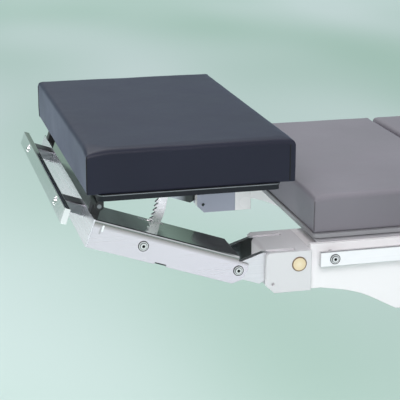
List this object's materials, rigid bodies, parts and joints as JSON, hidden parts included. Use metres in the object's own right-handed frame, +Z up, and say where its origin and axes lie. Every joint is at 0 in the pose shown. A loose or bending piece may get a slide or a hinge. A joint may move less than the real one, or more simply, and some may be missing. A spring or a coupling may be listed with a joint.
{
  "type": "operating table",
  "caption": "Operating table with hinged head, back, seat and split leg pads on a tilting lifting column and a castored base.",
  "frame": {"origin": "on the floor, midway between the head end and the foot end, in the table's middle plane", "axes": "+X towards the foot end, +Y towards the side away from the camera of the picture, +Z up"},
  "size_m": [2.0779, 0.6048, 1.0024],
  "materials": {
    "vinyl_slate": "satin",
    "vinyl_mauve": "satin",
    "board_dark": "satin",
    "board_grey": "satin",
    "steel_satin": "satin",
    "steel_polished": "polished",
    "steel_dark": "satin",
    "paint_white": "gloss",
    "knuckle_grey": "satin",
    "brass": "satin",
    "hinge_black": "satin",
    "rubber_black": "matte",
    "wheel_grey": "satin"
  },
  "bodies": {
    "base": {"base_chassis": "steel_dark", "base_cover": "paint_white", "base_feet": "rubber_black", "sleeve_lower": "steel_satin", "lift_guide": "steel_dark"},
    "sleeve": {"sleeve_middle": "steel_satin"},
    "column": {"column_head": "steel_dark", "sleeve_upper": "steel_satin", "lift_post": "steel_polished"},
    "cross": {"tilt_cross": "steel_dark"},
    "seat": {"seat_pad": "vinyl_mauve", "seat_board": "board_grey", "seat_sides": "paint_white", "seat_crossbeams": "steel_dark", "seat_rails": "steel_polished", "seat_rail_fixings": "steel_polished", "section_hinge_pins": "steel_polished"},
    "back": {"upper_back_pad": "vinyl_mauve", "lower_back_pad": "vinyl_mauve", "upper_back_board": "board_grey", "lower_back_board": "board_grey", "back_sides": "paint_white", "back_crossbars": "steel_satin", "knuckles": "knuckle_grey", "knuckle_pins": "brass", "back_rails": "steel_polished", "back_rail_fixings": "steel_polished"},
    "head_frame": {"head_arms": "steel_polished", "head_crossmember": "steel_polished", "cranked_levers": "steel_satin", "lever_screws": "steel_polished", "head_rail": "steel_polished", "head_rail_spacers": "steel_dark", "head_rail_screws": "steel_polished", "head_hinge_brackets": "hinge_black", "pawl_pins": "steel_dark"},
    "pawl_near": {"pawl_near": "steel_dark"},
    "pawl_far": {"pawl_far": "steel_dark"},
    "head_plate": {"head_pad": "vinyl_slate", "head_tray": "steel_polished", "head_board": "board_dark", "head_hinge_leaves": "hinge_black", "head_hinge_pins": "steel_dark", "ratchet_quadrants": "steel_satin"},
    "leg_block_near": {"leg_hinge_block_near": "knuckle_grey"},
    "leg_near": {"leg_arm_near": "steel_satin", "leg_board_near": "board_grey", "leg_pad_near": "vinyl_mauve"},
    "leg_block_far": {"leg_hinge_block_far": "knuckle_grey"},
    "leg_far": {"leg_arm_far": "steel_satin", "leg_board_far": "board_grey", "leg_pad_far": "vinyl_mauve"},
    "castor_1": {"castor_fork_1": "steel_satin"},
    "wheels_1": {"castor_wheels_1": "wheel_grey"},
    "castor_2": {"castor_fork_2": "steel_satin"},
    "wheels_2": {"castor_wheels_2": "wheel_grey"},
    "castor_3": {"castor_fork_3": "steel_satin"},
    "wheels_3": {"castor_wheels_3": "wheel_grey"},
    "castor_4": {"castor_fork_4": "steel_satin"},
    "wheels_4": {"castor_wheels_4": "wheel_grey"}
  },
  "joints": [
    {"name": "column_lift", "type": "slide", "parent": "base", "child": "column", "axis": [0, 0, 1], "range_m": [-0.12, 0.2]},
    {"name": "sleeve_follow", "type": "slide", "parent": "base", "child": "sleeve", "axis": [0, 0, 1], "range_m": [-0.06, 0.1]},
    {"name": "trendelenburg", "type": "hinge", "parent": "column", "child": "cross", "pos_m": [0.25, 0, 0.745], "axis": [0, -1, 0], "range_deg": [-25, 25]},
    {"name": "lateral_tilt", "type": "hinge", "parent": "cross", "child": "seat", "pos_m": [0.25, 0, 0.745], "axis": [1, 0, 0], "range_deg": [-20, 20]},
    {"name": "back_hinge", "type": "hinge", "parent": "seat", "child": "back", "pos_m": [0.092, 0, 0.88], "axis": [0, 1, 0], "range_deg": [-30, 70]},
    {"name": "head_frame_hinge", "type": "hinge", "parent": "back", "child": "head_frame", "pos_m": [-0.6545, 0, 0.7976], "axis": [0, 1, 0], "range_deg": [-70, 12]},
    {"name": "head_plate_hinge", "type": "hinge", "parent": "head_frame", "child": "head_plate", "pos_m": [-0.976, 0, 0.9124], "axis": [0, 1, 0], "range_deg": [-12, 19.1]},
    {"name": "pawl_near_pivot", "type": "hinge", "parent": "head_frame", "child": "pawl_near", "pos_m": [-0.92533, -0.193, 0.84429], "axis": [0, -1, 0], "range_deg": [0, 12], "stiffness_Nm_per_rad": 0.15, "springref_deg": -5.73},
    {"name": "pawl_far_pivot", "type": "hinge", "parent": "head_frame", "child": "pawl_far", "pos_m": [-0.92533, 0.193, 0.84429], "axis": [0, -1, 0], "range_deg": [0, 12], "stiffness_Nm_per_rad": 0.15, "springref_deg": -5.73},
    {"name": "leg_fold_near", "type": "hinge", "parent": "seat", "child": "leg_block_near", "pos_m": [0.487, -0.2818, 0.84], "axis": [0, 1, 0], "range_deg": [-10, 90]},
    {"name": "leg_spread_near", "type": "hinge", "parent": "leg_block_near", "child": "leg_near", "pos_m": [0.535, -0.2885, 0.814], "axis": [0, 0, -1], "range_deg": [0, 45]},
    {"name": "leg_fold_far", "type": "hinge", "parent": "seat", "child": "leg_block_far", "pos_m": [0.487, 0.2818, 0.84], "axis": [0, 1, 0], "range_deg": [-10, 90]},
    {"name": "leg_spread_far", "type": "hinge", "parent": "leg_block_far", "child": "leg_far", "pos_m": [0.535, 0.2885, 0.814], "axis": [0, 0, 1], "range_deg": [0, 45]},
    {"name": "castor_swivel_1", "type": "hinge", "parent": "base", "child": "castor_1", "pos_m": [-0.256, 0.205, 0.1], "axis": [0, 0, 1], "continuous": true},
    {"name": "castor_roll_1", "type": "hinge", "parent": "castor_1", "child": "wheels_1", "pos_m": [-0.234, 0.205, 0.0405], "axis": [0, 1, 0], "continuous": true},
    {"name": "castor_swivel_2", "type": "hinge", "parent": "base", "child": "castor_2", "pos_m": [-0.256, -0.205, 0.1], "axis": [0, 0, 1], "continuous": true},
    {"name": "castor_roll_2", "type": "hinge", "parent": "castor_2", "child": "wheels_2", "pos_m": [-0.234, -0.205, 0.0405], "axis": [0, 1, 0], "continuous": true},
    {"name": "castor_swivel_3", "type": "hinge", "parent": "base", "child": "castor_3", "pos_m": [0.656, 0.205, 0.1], "axis": [0, 0, 1], "continuous": true},
    {"name": "castor_roll_3", "type": "hinge", "parent": "castor_3", "child": "wheels_3", "pos_m": [0.678, 0.205, 0.0405], "axis": [0, 1, 0], "continuous": true},
    {"name": "castor_swivel_4", "type": "hinge", "parent": "base", "child": "castor_4", "pos_m": [0.656, -0.205, 0.1], "axis": [0, 0, 1], "continuous": true},
    {"name": "castor_roll_4", "type": "hinge", "parent": "castor_4", "child": "wheels_4", "pos_m": [0.678, -0.205, 0.0405], "axis": [0, 1, 0], "continuous": true}
  ],
  "couplings": [
    {"joint": "sleeve_follow", "follows": "column_lift", "ratio": 0.5}
  ]
}
